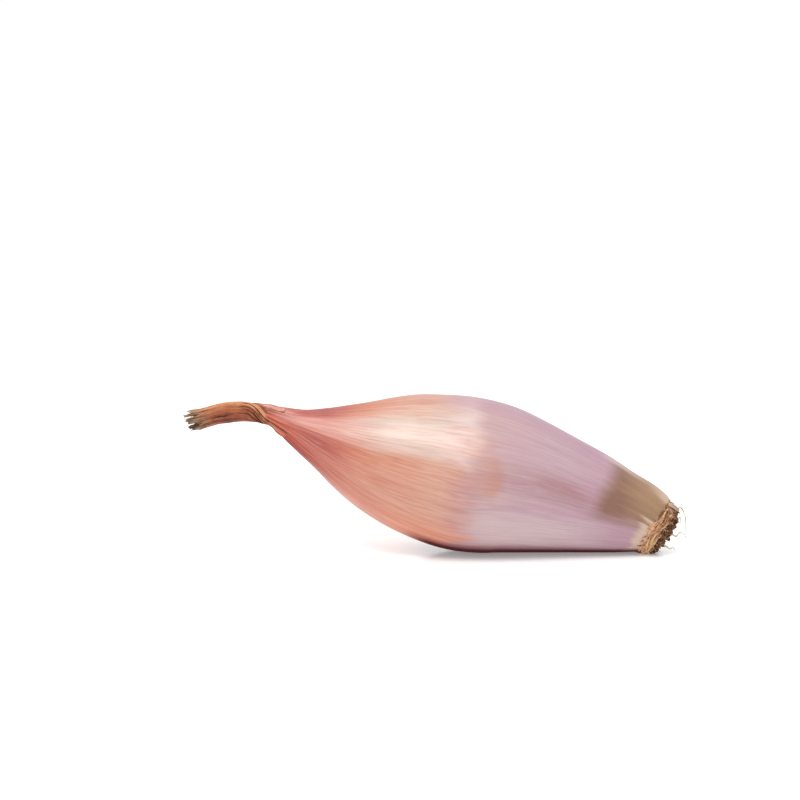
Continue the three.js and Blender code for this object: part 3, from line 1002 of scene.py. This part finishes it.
def sprouts(name, base, finish, values):
    """Short roots that stand on a zone of the plate, all with one curl, each with its own length and lean.
    """
    sizes = {
        "Finish": finish, "Spacing": 0.8 * MM, "Zone from": 0.0, "Zone to": 1.0, "Length": 2.0 * MM,
        "Length spread": 0.5, "Thickness": 0.6 * MM, "Thinning": 0.3, "Lean": 0.4, "Scatter": 0.4,
        "Curl": 0.5, "Middle longer": 0.0, "Darkest": 0.0, "Palest": 1.0,
        "Axis": tuple(float(c) for c in plate_axes()[0]), "Sides": 7, "Steps": 6, "Seed": 1,
    }
    shape = Shape(name + "_shape", sizes | values)
    size = shape.size
    seed = size("Seed")

    # One root: a tube along Z that bends over towards X and thins towards its end.
    ends = {"Start": (0.0, 0.0, 0.0), "Middle": (0.0, 0.0, 0.6), "End": (0.0, 0.0, 1.0)}
    path = shape.node("GeometryNodeCurveQuadraticBezier", None, ends | {"Resolution": size("Steps")})
    path, share = shape.shares(path)
    x, y, z = shape.split(shape.position)
    bowed = shape.vector(share * share * size("Curl"), 0.0, z * (1.0 - 0.35 * share * size("Curl")))
    path = shape.placed(path, bowed)
    knob = (1.0 - size("Thinning") * share + (share * 9.0).sine() * 0.12) * (1.0 - 0.75 * share ** 6.0)
    root = shape.tube(path, shape.circle(0.5), knob * size("Thickness") / size("Length"))
    root = shape.stored(root, "share", share)

    # Where the roots stand, and how they lean.
    settings = {"data_type": "FLOAT_VECTOR"}
    place = shape.node("GeometryNodeInputNamedAttribute", settings, {"Name": "plate_place"})
    _, _, along = shape.split(place)
    inside = along.within(0.0, 1.0, 0.001) * (along - size("Zone from")) * (size("Zone to") - along)
    settings = {"data_type": "FLOAT", "operation": "GREATER_THAN"}
    chosen = shape.node("FunctionNodeCompare", settings, {0: inside, 1: 0.0})
    settings = {"distribute_method": "POISSON"}
    inputs = {
        "Mesh": shape.start, "Selection": chosen, "Distance Min": size("Spacing"),
        "Density Max": MOST_STUBS, "Seed": seed,
    }
    spots = shape.node("GeometryNodeDistributePointsOnFaces", settings, inputs, "Points")
    spread = shape.vector(*(shape.chance(-1.0, 1.0, seed + step) for step in (1.0, 2.0, 3.0)))
    way = shape.arrows("SCALE", shape.other(spots, "Normal"), 1.0 - size("Lean"))
    way = shape.further(way, (size("Axis"), size("Lean")), (spread, size("Scatter")))
    upright = shape.node("FunctionNodeAlignRotationToVector", {"axis": "Z"}, {"Vector": way})
    spin = {"Axis": (0.0, 0.0, 1.0), "Angle": shape.chance(0.0, math.tau, seed + 4.0)}
    spin = shape.node("FunctionNodeAxisAngleToRotation", None, spin)
    rotation = shape.node("FunctionNodeRotateRotation", {"rotation_space": "LOCAL"}, {0: upright, 1: spin})
    scale = size("Length") * (1.0 + size("Length spread") * shape.chance(-1.0, 1.0, seed + 5.0))
    scale = scale * (1.0 + size("Middle longer") * along.ease(0.6, 1.0))
    inputs = {"Points": spots, "Instance": root, "Rotation": rotation, "Scale": scale}
    copies = shape.node("GeometryNodeInstanceOnPoints", None, inputs)
    _, _, z = shape.split(shape.position)
    tone = shape.chance(size("Darkest"), size("Palest"), seed + 6.0) + z.ease(0.007, 0.012, 0.0, 0.18)
    copies = shape.stored(copies, "tone", tone, "INSTANCE")
    return shape.made(copies, name, piece_of(name + "_base", base.data.copy()))


def root_fibre():
    """Dead root: straw-coloured skin over a brown core, darkest where it broke off."""
    finish = Finish("root_fibre")
    share = finish.attribute("share", "Fac")
    tone = finish.attribute("tone", "Fac")
    grain = finish.grain(1100.0)
    stops = [(0.0, (50, 30, 18)), (0.3, (112, 74, 44)), (0.65, (160, 114, 80)), (1.0, (202, 164, 128))]
    finish.colour = finish.ramp(tone + grain * 0.7, stops)
    finish.paint((share + grain * 0.2).ease(0.78, 1.0), (58, 34, 22))
    return finish.done(grain, depth=0.12, roughness=0.8 + grain * 0.2, specular_ior_level=0.3)


def rootlet_finish():
    """The pale, papery thread of a loose dried root."""
    finish = Finish("rootlet_fibre")
    share = finish.attribute("share", "Fac")
    grain = finish.grain(900.0)
    finish.colour = finish.mix(share + grain * 1.2, (164, 142, 112), (202, 196, 180))
    return finish.done(grain, depth=0.08, roughness=0.7 + grain * 0.2, specular_ior_level=0.3)


ROOTLET_HOLD = 1.8  # how deep a loose root goes into the plate
ROOTLET_RADIUS = 0.21


def rootlet(index, points, finish):
    """A loose dried root: a thin thread with kinks, which thins out to its tip."""
    thread = Shape(f"rootlet_{index}_shape", {
        "Finish": finish,
        "Steps": 60,
        "Sides": 8,
        "Kinks": 0.22 * MM,
        "Kinks per metre": 520.0,
        "Seed": index * 5.0,
    })
    line = BentLine([points[0] - ROOTLET_HOLD * plate_axes()[0], *points])
    distances = np.linspace(0, line.distances[-1], num=50)
    shares = np.linspace(0, 1, num=50)
    radii = ROOTLET_RADIUS * (1 - 0.62 * shares) * (1 + 0.16 * np.sin(shares * 23 + index))
    start = rail(f"rootlet_{index}_rail", (line.places(distances), radii))
    path, share = thread.shares(thread.resampled(thread.start))
    loose = (share.ease(0.1, 0.4), thread.size("Kinks"), 3.0)
    path = thread.shaken(path, thread.size("Seed"), thread.size("Kinks per metre"), 2.0, *loose)
    tube = thread.stored(thread.tube(path, thread.circle()), "share", share)
    return thread.made(tube, f"loose_root_{index}", start)


EDGE_START = 92.0  # where along the bulb the rail of the skin's torn edge begins, and where it ends
EDGE_END = BULB_LENGTH + 6.0
SMALL_FLAKES = 22
FLAKE_SEED = 11


def torn_skin_edge(finish):
    """The skin's ragged end round the root plate: short flakes, some lifted and some curled back."""
    draw = random.Random(FLAKE_SEED)
    distances = np.linspace(EDGE_START, EDGE_END, num=60)
    radii = bulb_radius(distances) + 0.02
    length = float(distances[-1]) - EDGE_START
    plate = BULB_LENGTH - EDGE_START
    # The larger flakes: the angle, how far before the plate each begins and how far past its edge it
    # reaches, its width, how far it stands off, and how far its end droops.
    flakes = [
        (-76, 1.0, 4.0, 1.3, 0.5, 0.4),
        (-104, 3.4, 4.0, 2.0, 0.3, 1.6),
        (-70, 3.0, 3.0, 1.6, 0.2, 0.8),
        (-30, 1.8, 2.0, 1.1, 0.3, 0.0),
        (-10, 1.6, 1.0, 0.8, 0.15, 0.3),
        (42, 1.8, 1.4, 0.9, 0.15, 0.0),
        (128, 2.6, 2.2, 1.4, 0.2, 0.0),
        (196, 2.6, 2.4, 1.5, 0.3, 0.5),
        (236, 2.8, 2.0, 1.2, 0.2, 0.8),
    ]
    for index in range(SMALL_FLAKES):
        around = 360 / SMALL_FLAKES * (index + draw.uniform(-0.35, 0.35))
        reach = (draw.uniform(1.2, 2.2), draw.uniform(0.2, 1.4))
        flakes.append((around, *reach, draw.uniform(0.35, 0.9), 0.05 + draw.uniform(0.0, 0.12), 0.0))
    pieces = []
    for index, (around, before, past, width, lift, droop) in enumerate(flakes):
        values = {
            "Steps along": 20, "Steps across": 11, "Begin": (plate - before) / length,
            "End": (plate + past) / length, "Skin from": EDGE_START / BULB_LENGTH,
            "Skin to": float(distances[-1] / BULB_LENGTH) + (0.03 if width < 1.0 else 0.0),
            "Sink": lift + 0.25, "Rooted": 0.5, "Pointed": 0.9, "Around": float(around), "Width": width,
            "Arch": 0.12, "Lift": lift, "Sway down": droop, "Crumple": 0.3, "Raggedness": 0.6,
            "Taper": 0.45, "Seed": index * 2.3,
        }
        start = rail("edge_rail", (core_line.places(distances), radii))
        pieces.append(torn_strip(f"skin_flake_{index + 1}", start, finish, values, wall=0.08))
    return joined_as("torn_skin_edge", pieces)


# ---- The whole onion ----

def body_piece(piece, slot, *nodes):
    """A finished piece of the onion, which has one body."""
    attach(piece, "root")
    if nodes:
        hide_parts(*nodes)


STUBS = {
    "face_stubs": {
        "Zone from": 0.52, "Spacing": 0.5 * MM, "Length": 0.95 * MM, "Length spread": 0.6,
        "Middle longer": 0.2, "Thickness": 0.52 * MM, "Thinning": 0.4, "Lean": 0.65, "Scatter": 0.6,
        "Curl": 0.55, "Darkest": -0.1, "Palest": 0.54, "Seed": 3,
    },
    "wall_stubs": {
        "Zone from": 0.4, "Zone to": 0.58, "Spacing": 0.9 * MM, "Length": 0.9 * MM, "Lean": 0.85,
        "Thickness": 0.34 * MM, "Thinning": 0.5, "Scatter": 0.5, "Curl": 0.6, "Darkest": 0.4, "Seed": 20,
    },
    "curled_fibres": {
        "Zone from": 0.4, "Spacing": 0.9 * MM, "Length": 1.3 * MM, "Thickness": 0.17 * MM,
        "Darkest": 0.25, "Palest": 0.9, "Thinning": 0.6, "Lean": 0.5, "Scatter": 0.7, "Curl": 1.1,
        "Sides": 5, "Steps": 9, "Seed": 40,
    },
}

bulb = bulb_skin()
body_piece(bulb, "papery_skin", "bulb")
body_piece(neck_sheaths(), "dry_leaf", "neck")
crown = root_plate()
fibre = root_fibre()
for name, values in STUBS.items():
    body_piece(sprouts(name, crown, fibre, values), "cork")
body_piece(rim_strands(fibre), "cork")
body_piece(crown, "cork", "root_plate")
body_piece(torn_skin_edge(bulb.data.materials[0]), "papery_skin")
thread_finish = rootlet_finish()
for index, points in enumerate(ROOTLETS, 1):
    body_piece(rootlet(index, points, thread_finish), "root_fibre", f"rootlet_{index}")


# ---- Floor, light and camera ----

FLOOR_REACH = 3.0  # metres from the middle to each side
FLOOR_GLOW = 0.23
WORLD_LIGHT = 1.03
KEY_LIGHT_PLACE = (-145, -290, 590)
KEY_LIGHT_SIZE = (420, 280)
KEY_LIGHT_WATTS = 3.0
CAMERA_DISTANCE = 577.0
CAMERA_RISE = 8.0  # degrees
CAMERA_AIM = (-9.2, 0.0, 39.8)
LENS = 100.0
SENSOR_WIDTH = 36.0
NEAREST_SEEN = 10.0
WHITE = (1, 1, 1, 1)


def stage():
    floor_finish = Finish("pale_floor")
    floor_finish.shade(
        base_color=(0.92, 0.92, 0.92, 1),
        roughness=0.18,
        specular_ior_level=0.5,
        emission_color=WHITE,
        emission_strength=FLOOR_GLOW,
    )
    mesh = bpy.data.meshes.new("floor")
    corners = [(x * FLOOR_REACH, y * FLOOR_REACH, 0) for x, y in ((-1, -1), (1, -1), (1, 1), (-1, 1))]
    mesh.from_pydata(corners, [], [(0, 1, 2, 3)])
    mesh.materials.append(floor_finish.material)
    piece_of("floor", mesh)
    world = bpy.data.worlds.new("studio")
    world.use_nodes = True
    sky = world.node_tree.nodes["Background"]
    sky.inputs["Color"].default_value = WHITE
    sky.inputs["Strength"].default_value = WORLD_LIGHT
    bpy.context.scene.world = world
    bpy.context.scene.view_settings.view_transform = "Standard"


def key_light():
    light = bpy.data.lights.new("key_light", "AREA")
    light.shape = "RECTANGLE"
    light.size, light.size_y = (side * MM for side in KEY_LIGHT_SIZE)
    light.energy = KEY_LIGHT_WATTS
    lamp = piece_of("key_light", light)
    lamp.location = Vector(KEY_LIGHT_PLACE) * MM
    lamp.rotation_euler = (-lamp.location).to_track_quat("-Z", "Y").to_euler()


def camera():
    view = bpy.data.cameras.new("camera")
    view.lens = LENS
    view.sensor_width = SENSOR_WIDTH
    view.clip_start = NEAREST_SEEN * MM
    eye = piece_of("camera", view)
    rise = math.radians(CAMERA_RISE)
    back = Vector((0, -math.cos(rise), math.sin(rise)))
    eye.location = (Vector(CAMERA_AIM) + back * CAMERA_DISTANCE) * MM
    eye.rotation_euler = back.to_track_quat("Z", "Y").to_euler()
    bpy.context.scene.camera = eye


stage()
key_light()
camera()
